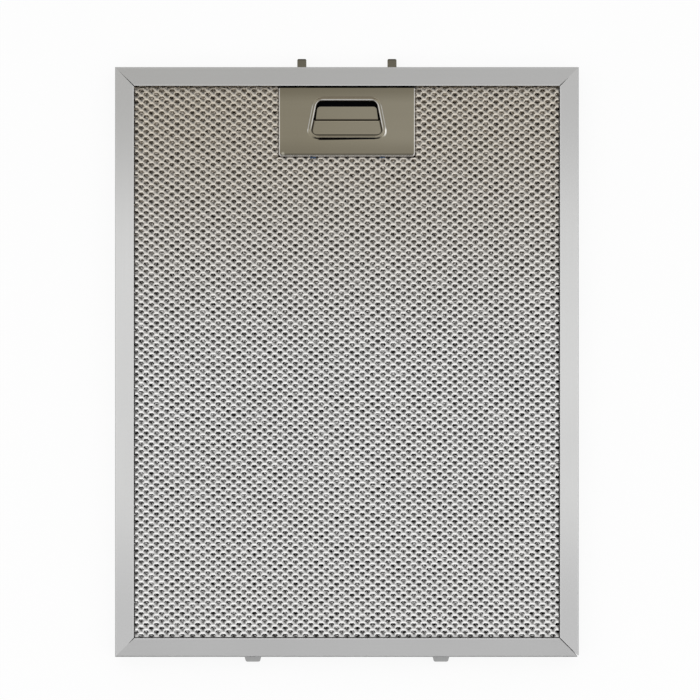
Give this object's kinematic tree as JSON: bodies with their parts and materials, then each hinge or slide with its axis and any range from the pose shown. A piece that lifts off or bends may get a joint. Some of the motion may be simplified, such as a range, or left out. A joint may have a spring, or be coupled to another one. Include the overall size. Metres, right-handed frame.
{
  "type": "cooker hood grease filter",
  "caption": "Rectangular cooker hood grease filter: folded aluminium frame round layers of expanded mesh, with a sprung stainless finger latch and locating lugs.",
  "frame": {"origin": "middle of the frame's back face, on the surface that the filter lies on", "axes": "+Z out of the front face, +Y towards the latch edge, +X to the right seen from the front"},
  "size_m": [0.25, 0.3261, 0.0099],
  "materials": {
    "frame_aluminium": "satin",
    "mesh_aluminium": "satin",
    "latch_stainless": "brushed",
    "spring_steel": "bright",
    "lug_steel": "satin"
  },
  "bodies": {
    "filter": {"frame": "frame_aluminium", "front_mesh": "mesh_aluminium", "inner_mesh_front": "mesh_aluminium", "inner_mesh_middle": "mesh_aluminium", "inner_mesh_back": "mesh_aluminium", "back_mesh": "mesh_aluminium", "handle_cover": "latch_stainless", "latch_housing": "latch_stainless", "latch_spring_left": "spring_steel", "latch_spring_right": "spring_steel", "locating_lug_left": "lug_steel", "locating_lug_right": "lug_steel"},
    "latch": {"latch_slider": "latch_stainless"}
  },
  "joints": [
    {"name": "latch_slide", "type": "slide", "parent": "filter", "child": "latch", "axis": [0, -1, 0], "range_m": [0, 0.005], "stiffness_N_per_m": 800, "springref_m": -0.003, "deforming": ["latch_spring_left", "latch_spring_right"]}
  ]
}
